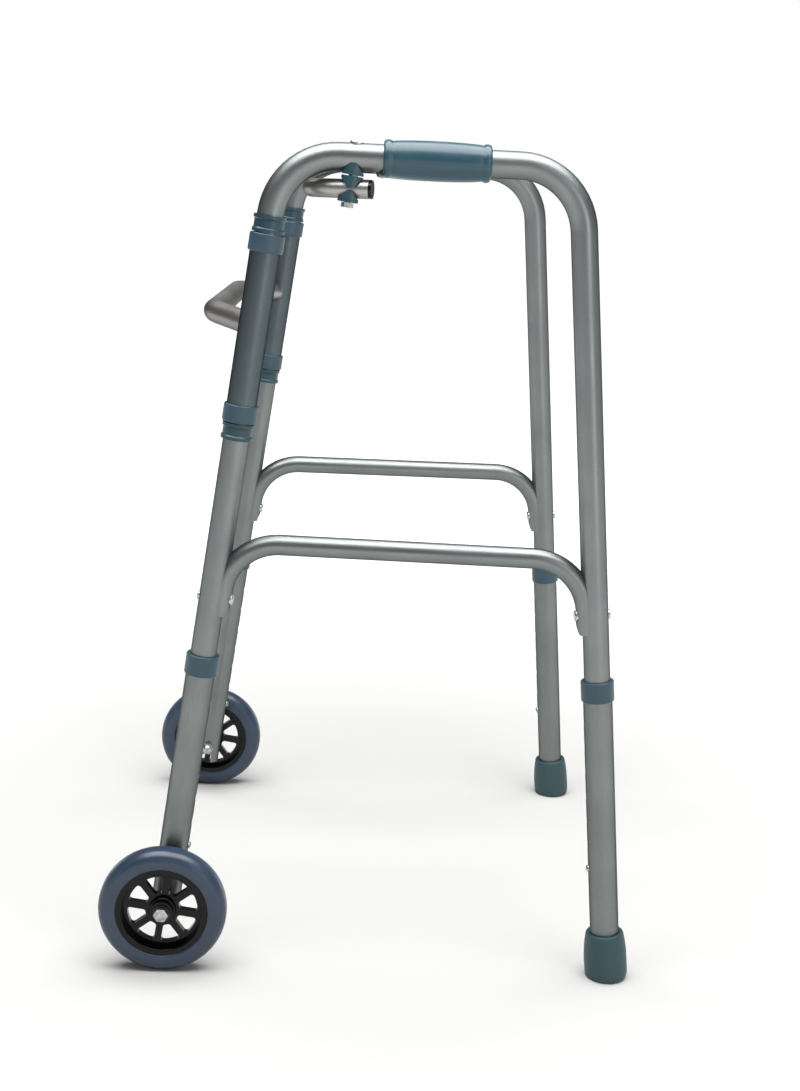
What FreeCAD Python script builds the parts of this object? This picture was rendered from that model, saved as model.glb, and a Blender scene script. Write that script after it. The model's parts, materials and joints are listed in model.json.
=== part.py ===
"""Two-way stepping walking frame with front wheels.

Each side frame is one bent tube: front leg, hand rail and rear leg. The front bow turns on the
front legs through two sleeves, and the link bar turns on a bolt under each rail, so the side
frames stay parallel while either one swings forward. Four leg extensions slide on the frame
tubes and lock with spring buttons.

The walker faces -X, their left is -Y, and +Z is up. The origin is at the bottom centre of the
whole object's box. Lengths are in millimetres and angles in degrees.
"""
import FreeCAD
import Part
import math
import os

from FreeCAD import Placement, Rotation, Vector

# ---- overall shape of one side frame ----
HALF_WIDTH = 221.3            # from the middle plane to a front leg's axis
RAIL_LENGTH = 276.8           # along the rail, between the corners of its centreline
FRONT_CORNER_HEIGHT = 794.9   # height of the front corner of the centreline
RAIL_DROP = 0.8               # the rail falls by this towards the rear
FRONT_LEG_TILT = 7.81         # the front leg's foot stands forward of its top
REAR_LEG_TILT = 4.96          # the rear leg's foot stands behind its top
REAR_LEG_SPLAY = 1.93         # the rear leg's foot stands outside its top
FRAME_BEND_RADIUS = 62.0

# ---- tubes ----
FRAME_TUBE_D = 25.4
FRAME_TUBE_WALL = 1.2
LEG_TUBE_D = 28.6
LEG_TUBE_WALL = 1.2
SLEEVE_D = 28.6
SLEEVE_WALL = 1.2
BRACE_D = 20.0
BRACE_WALL = 1.5
BOW_D = 22.0
BOW_WALL = 1.5
LINK_D = 17.0
LINK_WALL = 1.5

# ---- clearances ----
SEAT_GAP = 0.05               # between pieces fixed to each other
RUNNING_GAP = 0.06            # radial, between a shaft and the bore that turns or slides on it
FACE_GAP = 0.5                # between faces that turn past each other
HOLE_GAP = 0.3                # radial, between a fastener and its hole

# ---- leg extensions ----
PITCH = 25.4                  # between two height holes
HOLE_COUNT = 7
FRONT_BUTTON_UP = 56.4        # along the front leg, from the axle
FRONT_LEG_TOP = 253.0
FRONT_LEG_BELOW_AXLE = 20.0
REAR_BUTTON_UP = 115.2        # along the rear leg, from the floor
REAR_LEG_TOP = 305.0
REAR_LEG_BOTTOM = 7.0
TUBE_BELOW_BUTTON = 20.0      # the frame tube ends this far below its button
AXLE_SLOT_W = 11.0            # notch in the leg's end, under the axle nut

# ---- leg collars ----
COLLAR_D = LEG_TUBE_D + 3.8
COLLAR_LENGTH = 20.5
COLLAR_LIP = 4.0
COLLAR_ROUND = 1.4

# ---- snap buttons and their springs ----
BUTTON_D = 7.0
BUTTON_PROUD = 2.4            # beyond the leg tube
BUTTON_FLANGE_D = 9.4
BUTTON_FLANGE_T = 1.0
BUTTON_HOLE_GAP = 0.5
SPRING_W = 8.0
SPRING_T = 0.8
SPRING_LENGTH = 42.0

# ---- wheels ----
WHEEL_D = 127.0
TYRE_W = 28.0
TYRE_SHOULDER = 9.0
RIM_D = 91.0
RIM_W = 25.0
RIM_WALL = 6.0
RIM_ROUND = 1.6
WEB_T = 7.0
HUB_D = 23.0
HUB_LENGTH = 28.0
HUB_COLLAR_D = 27.0
WINDOW_COUNT = 8
WINDOW_IN = 17.0
WINDOW_OUT = 34.6
WINDOW_ROUND = 2.8
WINDOW_PHASE = 31.3           # one window's centre, from rearwards to up
SPOKE_W = 7.0
BUSH_D = 12.0
BUSH_LENGTH = 11.0
BUSH_FLANGE_D = 17.0
BUSH_FLANGE_T = 1.5
AXLE_D = 8.0
AXLE_HEAD_D = 14.4
AXLE_HEAD_T = 4.0
AXLE_NUT_ACROSS = 13.0
AXLE_NUT_T = 6.0
AXLE_NUT_DOME = 4.5
SPACER_D = 16.0
SPACER_T = 2.0

# ---- rubber tips ----
TIP_HEIGHT = 47.6
TIP_TOP_D = 36.4
TIP_RIM = 1.5
TIP_BOTTOM_D = 42.0
TIP_BULGE_D = 42.8
TIP_BULGE_UP = 14.0
TIP_ROUND = 2.6
TIP_FLOOR = 5.0
TIP_WASHER_T = 1.5

# ---- sleeves, their bushes and the stop collars ----
SLEEVE_CENTRE_UP = 576.8      # along the front leg, from the axle
SLEEVE_LENGTH = 171.0
SLEEVE_BUSH_D = SLEEVE_D + 4.4
SLEEVE_BUSH_LENGTH = 17.0
SLEEVE_BUSH_LIP = 3.0
STOP_D = FRAME_TUBE_D + 5.2
STOP_WAIST_D = STOP_D - 2.2
STOP_LENGTH = 15.5
STOP_FLANGE = 3.0
STOP_GAP = 1.0

# ---- front bow ----
BOW_UP = 580.4                # along the front leg, from the axle
BOW_REACH = 44.0              # forward of the sleeves' axes
BOW_CORNER_Y = 150.0
BOW_BEND_RADIUS = 42.0

# ---- side brace ----
BRACE_FRONT_HEIGHT = 430.0
BRACE_BEND_RADIUS = 55.0
FRONT_ARM_END_UP = 299.1      # along the front leg, from the axle
FRONT_BRACE_BOLT_UP = 315.1
REAR_ARM_END_UP = 356.0       # along the rear leg, from the floor
REAR_BRACE_BOLT_UP = 374.3
ARM_PROUD = 6.2               # the brace's arms stand this far off the legs
ARM_TIP_PROUD = 3.2           # at their ends, which are pressed to a slant
ARM_SLANT = 13.0              # length of the slant
PRESSED_REACH = 8.0           # the brace is pressed solid within this of the legs
BOLT_FLAT_PROUD = 4.4         # flat under each bolt head
BOLT_FLAT_MARGIN = 0.8        # from the head's edge to the flat's
BRACE_BOLT_D = 6.0
BRACE_HEAD_D = 11.4
BRACE_HEAD_T = 3.6
BRACE_NUT_D = 8.6
BRACE_NUT_T = 1.5

# ---- link bar and its pivots ----
LINK_BOLT_X = -37.0           # where the pivot bolt crosses the link bar's axis
LINK_DROP = 28.6              # from the rail's axis down to the link bar's
LINK_REACH = 36.0             # from the bolts forward to the cross bar
LINK_TAIL = 18.0              # behind the bolts
LINK_SLANT = 12.0             # the arms lean inwards by this
LINK_BEND_RADIUS = 28.0
LINK_BOLT_D = 6.0
LINK_BOLT_HOLE_GAP = 0.7
LINK_HEAD_D = 13.0
LINK_HEAD_T = 1.2
LINK_NUT_ACROSS = 10.0
LINK_NUT_T = 4.4
SADDLE_D = 24.6               # across its tube
SADDLE_LENGTH = 19.0          # along its tube
SADDLE_LOBE = 7.0             # how far a saddle's lobes reach along its tube's sides
SADDLE_TIP = 2.6              # half the width of a lobe's blunt tip
SADDLE_BAND = 2.6             # height of the full-width part at its flat face
SADDLE_ROUND = 1.0
SADDLE_WAIST_GAP = 1.0
LOW_SADDLE_T = 3.4
CAP_T = 3.0
CAP_PLUG = 12.0

# ---- hand grip ----
GRIP_START_X = -7.0
GRIP_LENGTH = 98.6
GRIP_BEAD_D = 34.6
GRIP_NECK_D = 31.6
GRIP_BARREL_D = 36.0
GRIP_BEAD_W = 8.0

UP = Vector(0, 0, 1)
LATERAL = Vector(0, 1, 0)


# ---- places worked out from the sizes above, on the right side (+Y) ----
def tangent_of(degrees):
    return math.tan(math.radians(degrees))


WHEEL_R = WHEEL_D / 2
RAIL_DIRECTION = Vector(1, 0, -tangent_of(RAIL_DROP)).normalize()
REAR_CORNER_HEIGHT = FRONT_CORNER_HEIGHT + RAIL_DIRECTION.z * RAIL_LENGTH
AXLE_AHEAD = (FRONT_CORNER_HEIGHT - WHEEL_R) * tangent_of(FRONT_LEG_TILT)
FOOT_BEHIND = REAR_CORNER_HEIGHT * tangent_of(REAR_LEG_TILT)
RAIL_SPAN = RAIL_DIRECTION.x * RAIL_LENGTH
TIP_REACH = TIP_BOTTOM_D / 2
FRONT_CORNER_X = (AXLE_AHEAD + WHEEL_R - RAIL_SPAN - FOOT_BEHIND - TIP_REACH) / 2

FRONT_CORNER = Vector(FRONT_CORNER_X, HALF_WIDTH, FRONT_CORNER_HEIGHT)
REAR_CORNER = FRONT_CORNER + RAIL_DIRECTION * RAIL_LENGTH
AXLE = Vector(FRONT_CORNER_X - AXLE_AHEAD, HALF_WIDTH, WHEEL_R)
FOOT = Vector(
    REAR_CORNER.x + FOOT_BEHIND,
    HALF_WIDTH + REAR_CORNER_HEIGHT * tangent_of(REAR_LEG_SPLAY),
    0,
)
FRONT_LEG_UP = (FRONT_CORNER - AXLE).normalize()
REAR_LEG_UP = (REAR_CORNER - FOOT).normalize()

# Local frames: Z runs up the leg, X points rearwards, square to the leg.
FRONT_LEG = Placement(AXLE, Rotation(Vector(1, 0, 0), Vector(), FRONT_LEG_UP, "ZXY"))
REAR_LEG = Placement(FOOT, Rotation(Vector(1, 0, 0), Vector(), REAR_LEG_UP, "ZXY"))

FRONT_TUBE_END_UP = FRONT_BUTTON_UP - TUBE_BELOW_BUTTON
REAR_TUBE_END_UP = REAR_BUTTON_UP - TUBE_BELOW_BUTTON

LEG_R = LEG_TUBE_D / 2
TUBE_R = FRAME_TUBE_D / 2
BORE_R = TUBE_R + RUNNING_GAP          # of a bush that turns or slides on the frame tube
HUB_INNER_Y = HALF_WIDTH + LEG_R + SPACER_T + FACE_GAP
WHEEL_Y = HUB_INNER_Y + HUB_LENGTH / 2


def rail_point(x):
    """The point of the rail's axis at a place along X."""
    return FRONT_CORNER + RAIL_DIRECTION * ((x - FRONT_CORNER.x) / RAIL_DIRECTION.x)


LINK_PIVOT = rail_point(LINK_BOLT_X) - UP * LINK_DROP
LINK_AXIS = FRONT_LEG_UP               # the link bar's bolts stand parallel to the front legs
ON_BOLT = Placement(LINK_PIVOT, FRONT_LEG.Rotation)


# ---- shapes used by many pieces ----
def rod(radius, low, high, axis_point=Vector(), axis=UP):
    """A round bar along an axis, from one distance to another."""
    return Part.makeCylinder(radius, high - low, axis_point + axis * low, axis)


def ring(outer_radius, inner_radius, low, high):
    """A tube on the Z axis."""
    return rod(outer_radius, low, high).cut(rod(inner_radius, low - 1, high + 1))


def revolved(outline):
    """A closed outline of (radius, height) points turned round the Z axis."""
    points = [Vector(radius, 0, height) for radius, height in outline]
    face = Part.Face(Part.makePolygon(points + points[:1]))
    return face.revolve(Vector(), UP, 360)


def rounded(shape, radius, keep):
    """The shape with a fillet on each edge that keep picks."""
    return shape.makeFillet(radius, [edge for edge in shape.Edges if keep(edge)])


def is_circle(radius, height=None):
    """Picks the circles of a radius about the Z axis, at one height or at any."""

    def keep(edge):
        curve = edge.Curve
        if not isinstance(curve, Part.Circle) or abs(curve.Radius - radius) > 1e-4:
            return False
        return height is None or abs(curve.Center.z - height) < 1e-4

    return keep


def placed(shape, placement):
    """A copy of the shape, moved from a local frame to its place."""
    moved = shape.copy()
    moved.transformShape(placement.toMatrix(), True)
    return moved


def hexagon(across, low, high):
    """A hexagonal bar on the Z axis, by its width across the flats."""
    corner_radius = across / math.sqrt(3)
    turns = [math.radians(60 * k) for k in range(6)]
    points = [Vector(corner_radius * math.cos(t), corner_radius * math.sin(t), low) for t in turns]
    face = Part.Face(Part.makePolygon(points + points[:1]))
    return face.extrude(UP * (high - low))


def group(*shapes):
    """Separate solids that share one node."""
    return Part.makeCompound(list(shapes))


def bent_wire(points, radius):
    """Straight runs between points, joined by tangent arcs of one radius."""
    edges = []
    start = points[0]
    for before, corner, after in zip(points, points[1:], points[2:]):
        back = (before - corner).normalize()
        ahead = (after - corner).normalize()
        half_turn = (math.pi - back.getAngle(ahead)) / 2
        tangent = radius * math.tan(half_turn)
        inward = (back + ahead).normalize()
        enter = corner + back * tangent
        leave = corner + ahead * tangent
        middle = corner + inward * (radius / math.cos(half_turn) - radius)
        edges.append(Part.LineSegment(start, enter).toShape())
        edges.append(Part.Arc(enter, middle, leave).toShape())
        start = leave
    edges.append(Part.LineSegment(start, points[-1]).toShape())
    return Part.Wire(edges)


def bar_along(points, bend_radius, radius):
    """A round bar whose axis is the bent wire through points."""
    heading = (points[1] - points[0]).normalize()
    section = Part.Face(Part.Wire(Part.Circle(points[0], heading, radius).toShape()))
    return bent_wire(points, bend_radius).makePipe(section)


def tube_along(points, bend_radius, diameter, wall):
    """A bent tube, open at both ends."""
    outside = bar_along(points, bend_radius, diameter / 2)
    return outside.cut(bar_along(points, bend_radius, diameter / 2 - wall))


# ---- side frame: tube, brace, grip and fasteners ----
def crosswise_hole(radius, up, low, high):
    """A drill along a leg's local X, at a distance up the leg."""
    return rod(radius, low, high, Vector(0, 0, up), Vector(1, 0, 0))


def side_tube():
    points = [
        FRONT_LEG.multVec(Vector(0, 0, FRONT_TUBE_END_UP)),
        FRONT_CORNER,
        REAR_CORNER,
        REAR_LEG.multVec(Vector(0, 0, REAR_TUBE_END_UP)),
    ]
    tube = tube_along(points, FRAME_BEND_RADIUS, FRAME_TUBE_D, FRAME_TUBE_WALL)
    bolt_r = BRACE_BOLT_D / 2 + HOLE_GAP
    button_r = BUTTON_D / 2 + BUTTON_HOLE_GAP
    far = FRAME_TUBE_D
    drills = [
        placed(crosswise_hole(bolt_r, FRONT_BRACE_BOLT_UP, -far, far), FRONT_LEG),
        placed(crosswise_hole(bolt_r, REAR_BRACE_BOLT_UP, -far, far), REAR_LEG),
        placed(crosswise_hole(button_r, FRONT_BUTTON_UP, 0, far), FRONT_LEG),
        placed(crosswise_hole(button_r, REAR_BUTTON_UP, -far, 0), REAR_LEG),
        rod(LINK_BOLT_D / 2 + HOLE_GAP, 0, LINK_DROP + far, LINK_PIVOT, LINK_AXIS),
    ]
    return tube.cut(drills)


def brace_end_cuts(leg, side, end_up, bolt_up):
    """What is cut from one arm: the leg's curve, the slant of its end, and the bolt's flat and hole."""
    top = end_up + 2 * BRACE_BEND_RADIUS + BRACE_D
    seat = rod(TUBE_R + SEAT_GAP, end_up - 1, top)
    outside = TUBE_R + ARM_PROUD + 1
    slant = [
        Vector(side * (TUBE_R + ARM_TIP_PROUD), -BRACE_D, end_up - 1),
        Vector(side * outside, -BRACE_D, end_up - 1),
        Vector(side * outside, -BRACE_D, end_up + ARM_SLANT),
    ]
    wedge = Part.Face(Part.makePolygon(slant + slant[:1])).extrude(Vector(0, 2 * BRACE_D, 0))
    centre = Vector(0, 0, bolt_up)
    axis = Vector(side, 0, 0)
    flat = TUBE_R + BOLT_FLAT_PROUD
    spot = rod(BRACE_HEAD_D / 2 + BOLT_FLAT_MARGIN, flat, flat + BRACE_D, centre, axis)
    hole = rod(BRACE_BOLT_D / 2 + HOLE_GAP, 0, flat + BRACE_D, centre, axis)
    return [placed(cut, leg) for cut in (seat, wedge, spot, hole)]


def side_brace():
    """The bent tube between the legs, its arms pressed and hollowed to sit on them."""
    offset = TUBE_R + ARM_PROUD - BRACE_D / 2
    front_end = FRONT_LEG.multVec(Vector(offset, 0, FRONT_ARM_END_UP))
    rear_end = REAR_LEG.multVec(Vector(-offset, 0, REAR_ARM_END_UP))
    front_corner = front_end + FRONT_LEG_UP * ((BRACE_FRONT_HEIGHT - front_end.z) / FRONT_LEG_UP.z)
    drop = RAIL_DIRECTION.z / RAIL_DIRECTION.x
    level = front_corner.z + drop * (rear_end.x - front_corner.x)
    rear_rise = (level - rear_end.z) / (REAR_LEG_UP.z - drop * REAR_LEG_UP.x)
    points = [front_end, front_corner, rear_end + REAR_LEG_UP * rear_rise, rear_end]
    outside = bar_along(points, BRACE_BEND_RADIUS, BRACE_D / 2)
    bore = bar_along(points, BRACE_BEND_RADIUS, BRACE_D / 2 - BRACE_WALL)
    pressed_top = REAR_ARM_END_UP + 2 * BRACE_BEND_RADIUS + BRACE_D
    pressed = rod(TUBE_R + PRESSED_REACH, 0, pressed_top)
    bore = bore.cut([placed(pressed, FRONT_LEG), placed(pressed, REAR_LEG)])
    cuts = brace_end_cuts(FRONT_LEG, 1, FRONT_ARM_END_UP, FRONT_BRACE_BOLT_UP)
    cuts += brace_end_cuts(REAR_LEG, -1, REAR_ARM_END_UP, REAR_BRACE_BOLT_UP)
    return outside.cut([bore] + cuts)


def brace_fasteners():
    """A bolt and a dome nut for each end of the brace: the bolts, then the nuts."""
    bolts = []
    nuts = []
    places = ((FRONT_LEG, FRONT_BRACE_BOLT_UP, 1), (REAR_LEG, REAR_BRACE_BOLT_UP, -1))
    for leg, up, side in places:
        axis = Vector(side, 0, 0)
        centre = Vector(0, 0, up)
        head_start = TUBE_R + BOLT_FLAT_PROUD + SEAT_GAP
        head = rod(BRACE_HEAD_D / 2, head_start, head_start + BRACE_HEAD_T, centre, axis)
        rims = [e for e in head.Edges if abs(e.CenterOfMass.x) > head_start + BRACE_HEAD_T - 0.1]
        head = head.makeFillet(BRACE_HEAD_T * 0.7, rims)
        shank = rod(BRACE_BOLT_D / 2, -TUBE_R - BRACE_NUT_T / 2, head_start, centre, axis)
        bolts.append(placed(head.fuse(shank), leg))
        nut = rod(BRACE_NUT_D / 2, TUBE_R - 1.0, TUBE_R + BRACE_NUT_T, centre, axis * -1)
        nut = nut.cut(rod(TUBE_R + SEAT_GAP, up - BRACE_D, up + BRACE_D))
        thread_end = TUBE_R + BRACE_NUT_T / 2 + SEAT_GAP
        nut = nut.cut(rod(BRACE_BOLT_D / 2 + SEAT_GAP, 0, thread_end, centre, axis * -1))
        nuts.append(placed(nut, leg))
    return group(*bolts), group(*nuts)


def hand_grip():
    """A moulded sleeve with a bead at each end and a barrel between them."""
    bead_r = GRIP_BEAD_D / 2
    neck_r = GRIP_NECK_D / 2
    bore_r = TUBE_R + SEAT_GAP
    middle = GRIP_LENGTH / 2
    end = GRIP_LENGTH
    swell = Part.BSplineCurve()
    swell.interpolate(
        [
            Vector(bead_r - 1.2, 0, 0),
            Vector(bead_r, 0, GRIP_BEAD_W / 2),
            Vector(neck_r, 0, GRIP_BEAD_W * 1.45),
            Vector(GRIP_BARREL_D / 2, 0, middle),
            Vector(neck_r, 0, end - GRIP_BEAD_W * 1.45),
            Vector(bead_r, 0, end - GRIP_BEAD_W / 2),
            Vector(bead_r - 1.2, 0, end),
        ]
    )
    bore_corners = [Vector(bead_r - 1.2, 0, end), Vector(bore_r, 0, end), Vector(bore_r, 0, 0)]
    sides = Part.makePolygon(bore_corners + [Vector(bead_r - 1.2, 0, 0)])
    outline = Part.Wire([swell.toShape()] + sides.Edges)
    grip = Part.Face(outline).revolve(Vector(), UP, 360)
    along_rail = Rotation(UP, RAIL_DIRECTION)
    return placed(grip, Placement(rail_point(GRIP_START_X), along_rail))


def stop_collars():
    """The two waisted collars that hold the sleeve up and down on the front leg."""
    waist = (STOP_D - STOP_WAIST_D) / 2
    outline = [
        (TUBE_R + SEAT_GAP, 0),
        (STOP_D / 2, 0),
        (STOP_D / 2, STOP_FLANGE),
        (STOP_D / 2 - waist, STOP_FLANGE + waist),
        (STOP_D / 2 - waist, STOP_LENGTH - STOP_FLANGE - waist),
        (STOP_D / 2, STOP_LENGTH - STOP_FLANGE),
        (STOP_D / 2, STOP_LENGTH),
        (TUBE_R + SEAT_GAP, STOP_LENGTH),
    ]
    collar = revolved(outline)
    reach = SLEEVE_LENGTH / 2 + SLEEVE_BUSH_LIP + STOP_GAP
    lows = (SLEEVE_CENTRE_UP - reach - STOP_LENGTH, SLEEVE_CENTRE_UP + reach)
    collars = [placed(collar, Placement(Vector(0, 0, low), Rotation())) for low in lows]
    return placed(group(*collars), FRONT_LEG)


# ---- snap buttons ----
def reach_in_tube(width):
    """How far from the axis a flat thing of a width reaches inside the frame tube."""
    bore = TUBE_R - FRAME_TUBE_WALL
    return math.sqrt(bore**2 - (width / 2) ** 2) - HOLE_GAP


def snap_button(leg, up, side):
    """The stud that stands through the frame tube and the leg, with a flange inside the tube."""
    centre = Vector(0, 0, up)
    axis = Vector(side, 0, 0)
    flange_out = reach_in_tube(BUTTON_FLANGE_D)
    tip = LEG_R + BUTTON_PROUD
    stud = rod(BUTTON_D / 2, flange_out - BUTTON_FLANGE_T, tip, centre, axis)
    crown = [e for e in stud.Edges if abs(e.CenterOfMass.x) > tip - 0.1]
    stud = stud.makeFillet(BUTTON_D * 0.4, crown)
    flange = rod(BUTTON_FLANGE_D / 2, flange_out - BUTTON_FLANGE_T, flange_out, centre, axis)
    return placed(stud.fuse(flange), leg)


def button_spring(leg, up, side):
    """A folded strip: one arm behind the button, the other on the far wall of the tube."""
    near = reach_in_tube(BUTTON_FLANGE_D) - BUTTON_FLANGE_T - SEAT_GAP
    wall = reach_in_tube(SPRING_W)
    fold_r = (near + wall) / 4
    fold_x = (near - wall) / 2
    low = up - BUTTON_FLANGE_D / 2
    high = up + SPRING_LENGTH
    outside = [
        Vector(near, 0, low),
        Vector(near, 0, up + BUTTON_FLANGE_D / 2),
        Vector(fold_x + fold_r, 0, high),
        Vector(fold_x - fold_r, 0, high),
        Vector(-wall, 0, up + BUTTON_FLANGE_D / 2),
        Vector(-wall, 0, low),
    ]
    edges = [Part.LineSegment(outside[0], outside[1]).toShape()]
    edges.append(Part.LineSegment(outside[1], outside[2]).toShape())
    top = Vector(fold_x, 0, high + fold_r)
    edges.append(Part.Arc(outside[2], top, outside[3]).toShape())
    edges.append(Part.LineSegment(outside[3], outside[4]).toShape())
    edges.append(Part.LineSegment(outside[4], outside[5]).toShape())
    line = Part.Wire(edges)
    inner = line.makeOffset2D(SPRING_T, 2, True, True)
    shape = inner.extrude(Vector(0, SPRING_W, 0))
    shape.translate(Vector(0, -SPRING_W / 2, 0))
    if side < 0:
        shape = shape.mirror(Vector(), Vector(1, 0, 0))
    return placed(shape, leg)


# ---- leg extensions ----
def leg_holes(up, side):
    radius = BUTTON_D / 2 + BUTTON_HOLE_GAP
    reach = (0, LEG_TUBE_D) if side > 0 else (-LEG_TUBE_D, 0)
    ups = [up + PITCH * k for k in range(HOLE_COUNT)]
    return [crosswise_hole(radius, at, *reach) for at in ups]


def front_leg_tube():
    """The lower front leg, notched under the axle on its inner side."""
    tube = ring(LEG_R, LEG_R - LEG_TUBE_WALL, -FRONT_LEG_BELOW_AXLE, FRONT_LEG_TOP)
    axle_hole = rod(AXLE_D / 2 + HOLE_GAP, -LEG_TUBE_D, LEG_TUBE_D, Vector(), LATERAL)
    notch = Part.makeBox(
        AXLE_SLOT_W,
        LEG_TUBE_D,
        FRONT_LEG_BELOW_AXLE,
        Vector(-AXLE_SLOT_W / 2, -LEG_TUBE_D, -FRONT_LEG_BELOW_AXLE - AXLE_NUT_ACROSS / 2),
    )
    drills = leg_holes(FRONT_BUTTON_UP, 1) + [axle_hole, notch]
    return placed(tube.cut(drills), FRONT_LEG)


def rear_leg_tube():
    tube = ring(LEG_R, LEG_R - LEG_TUBE_WALL, REAR_LEG_BOTTOM, REAR_LEG_TOP)
    return placed(tube.cut(leg_holes(REAR_BUTTON_UP, -1)), REAR_LEG)


def leg_collar(leg, leg_top):
    """A cap on the leg's upper end, bored to slide on the frame tube."""
    top = leg_top + COLLAR_LIP
    low = top - COLLAR_LENGTH
    body = ring(COLLAR_D / 2, BORE_R, low, top)
    body = body.cut(rod(LEG_R + SEAT_GAP, low - 1, leg_top + SEAT_GAP))
    body = rounded(body, COLLAR_ROUND, is_circle(COLLAR_D / 2))
    return placed(body, leg)


def rubber_tip():
    """A rubber foot: coaxial with the leg, and cut level where it stands on the floor."""
    top = TIP_HEIGHT
    top_r = TIP_TOP_D / 2
    low = Vector(TIP_BOTTOM_D / 2, 0, -TIP_FLOOR)
    swell = Part.BSplineCurve()
    swell.interpolate(
        [
            low,
            Vector(TIP_BULGE_D / 2, 0, TIP_BULGE_UP),
            Vector(top_r + 0.9, 0, TIP_HEIGHT * 0.62),
            Vector(top_r, 0, top - TIP_RIM),
        ]
    )
    corners = [
        Vector(top_r, 0, top - TIP_RIM),
        Vector(top_r - TIP_RIM, 0, top),
        Vector(LEG_R + SEAT_GAP, 0, top),
        Vector(LEG_R + SEAT_GAP, 0, TIP_FLOOR),
        Vector(0, 0, TIP_FLOOR),
        Vector(0, 0, -TIP_FLOOR),
        low,
    ]
    outline = Part.Wire([swell.toShape()] + Part.makePolygon(corners).Edges)
    tip = placed(Part.Face(outline).revolve(Vector(), UP, 360), REAR_LEG)
    floor = Part.makeBox(4 * TIP_HEIGHT, 4 * TIP_HEIGHT, TIP_HEIGHT)
    floor.translate(FOOT - Vector(2 * TIP_HEIGHT, 2 * TIP_HEIGHT, TIP_HEIGHT))
    return rounded(tip.cut(floor), TIP_ROUND, lambda edge: edge.BoundBox.ZMax < 1e-6)


def tip_washer():
    """The steel disc in the rubber tip, under the end of the leg."""
    low = TIP_FLOOR + SEAT_GAP
    disc = rod(LEG_R - SEAT_GAP, low, low + TIP_WASHER_T)
    return placed(disc, REAR_LEG)


# ---- wheels: turned about a lateral axis through the axle ----
# The local frame's Z is lateral, outwards, and starts on the front leg's axis.
WHEEL = Placement(AXLE, Rotation(Vector(1, 0, 0), Vector(0, 0, -1), LATERAL, "ZXY"))
WHEEL_MIDDLE = WHEEL_Y - HALF_WIDTH


def tyre():
    low = WHEEL_MIDDLE - TYRE_W / 2
    high = WHEEL_MIDDLE + TYRE_W / 2
    body = ring(WHEEL_R, RIM_D / 2 + SEAT_GAP, low, high)
    return placed(rounded(body, TYRE_SHOULDER, is_circle(WHEEL_R)), WHEEL)


def wheel_windows(low, high):
    """Rounded openings between straight-sided spokes."""
    disc = ring(WINDOW_OUT, WINDOW_IN, low, high)
    step = 360 / WINDOW_COUNT
    spokes = []
    for k in range(WINDOW_COUNT):
        spoke = Part.makeBox(WHEEL_R, SPOKE_W, high - low + 2, Vector(0, -SPOKE_W / 2, low - 1))
        spoke.rotate(Vector(), UP, WINDOW_PHASE + step * (k + 0.5))
        spokes.append(spoke)
    openings = disc.cut(spokes)
    height = high - low

    def upright(edge):
        return isinstance(edge.Curve, Part.Line) and abs(edge.Length - height) < 1e-3

    return [rounded(solid, WINDOW_ROUND, upright) for solid in openings.Solids]


def wheel_rim():
    """One moulding: barrel, spoked web and hub, bored for the axle bushes."""
    low = WHEEL_MIDDLE - RIM_W / 2
    high = WHEEL_MIDDLE + RIM_W / 2
    web_low = WHEEL_MIDDLE - WEB_T / 2
    web_high = WHEEL_MIDDLE + WEB_T / 2
    hub_half = HUB_LENGTH / 2 - BUSH_FLANGE_T
    barrel = ring(RIM_D / 2, RIM_D / 2 - RIM_WALL, low, high)
    barrel = rounded(barrel, RIM_ROUND, is_circle(RIM_D / 2 - RIM_WALL))
    web = rod(RIM_D / 2 - RIM_WALL / 2, web_low, web_high)
    hub = rod(HUB_D / 2, WHEEL_MIDDLE - hub_half, WHEEL_MIDDLE + hub_half)
    collar = rod(HUB_COLLAR_D / 2, WHEEL_MIDDLE - WEB_T, WHEEL_MIDDLE + WEB_T)
    collar = rounded(collar, RIM_ROUND, is_circle(HUB_COLLAR_D / 2))
    body = barrel.fuse([web, hub, collar])
    body = body.cut(wheel_windows(web_low - 1, web_high + 1))
    bore = rod(BUSH_D / 2 + SEAT_GAP, WHEEL_MIDDLE - HUB_LENGTH, WHEEL_MIDDLE + HUB_LENGTH)
    return placed(body.cut(bore), WHEEL)


def hub_bushes():
    """Two flanged bushes, one in each end of the hub, that turn on the axle bolt."""
    outline = [
        (AXLE_D / 2 + RUNNING_GAP, 0),
        (BUSH_FLANGE_D / 2, 0),
        (BUSH_FLANGE_D / 2, BUSH_FLANGE_T - SEAT_GAP),
        (BUSH_D / 2, BUSH_FLANGE_T - SEAT_GAP),
        (BUSH_D / 2, BUSH_LENGTH),
        (AXLE_D / 2 + RUNNING_GAP, BUSH_LENGTH),
    ]
    inner = revolved(outline)
    inner.translate(UP * (WHEEL_MIDDLE - HUB_LENGTH / 2))
    outer = inner.mirror(Vector(0, 0, WHEEL_MIDDLE), UP)
    return placed(group(inner, outer), WHEEL)


def axle_bolt():
    """A hexagon-headed bolt through the wheel, the spacer and the leg."""
    head_low = WHEEL_MIDDLE + HUB_LENGTH / 2 + FACE_GAP
    head = hexagon(AXLE_HEAD_D * math.sqrt(3) / 2, head_low, head_low + AXLE_HEAD_T)
    dished = rod(AXLE_HEAD_D / 2 - 2.2, head_low + AXLE_HEAD_T - 0.8, head_low + AXLE_HEAD_T)
    shank = rod(AXLE_D / 2, -LEG_R - AXLE_NUT_T, head_low)
    return placed(head.cut(dished).fuse(shank), WHEEL)


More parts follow.
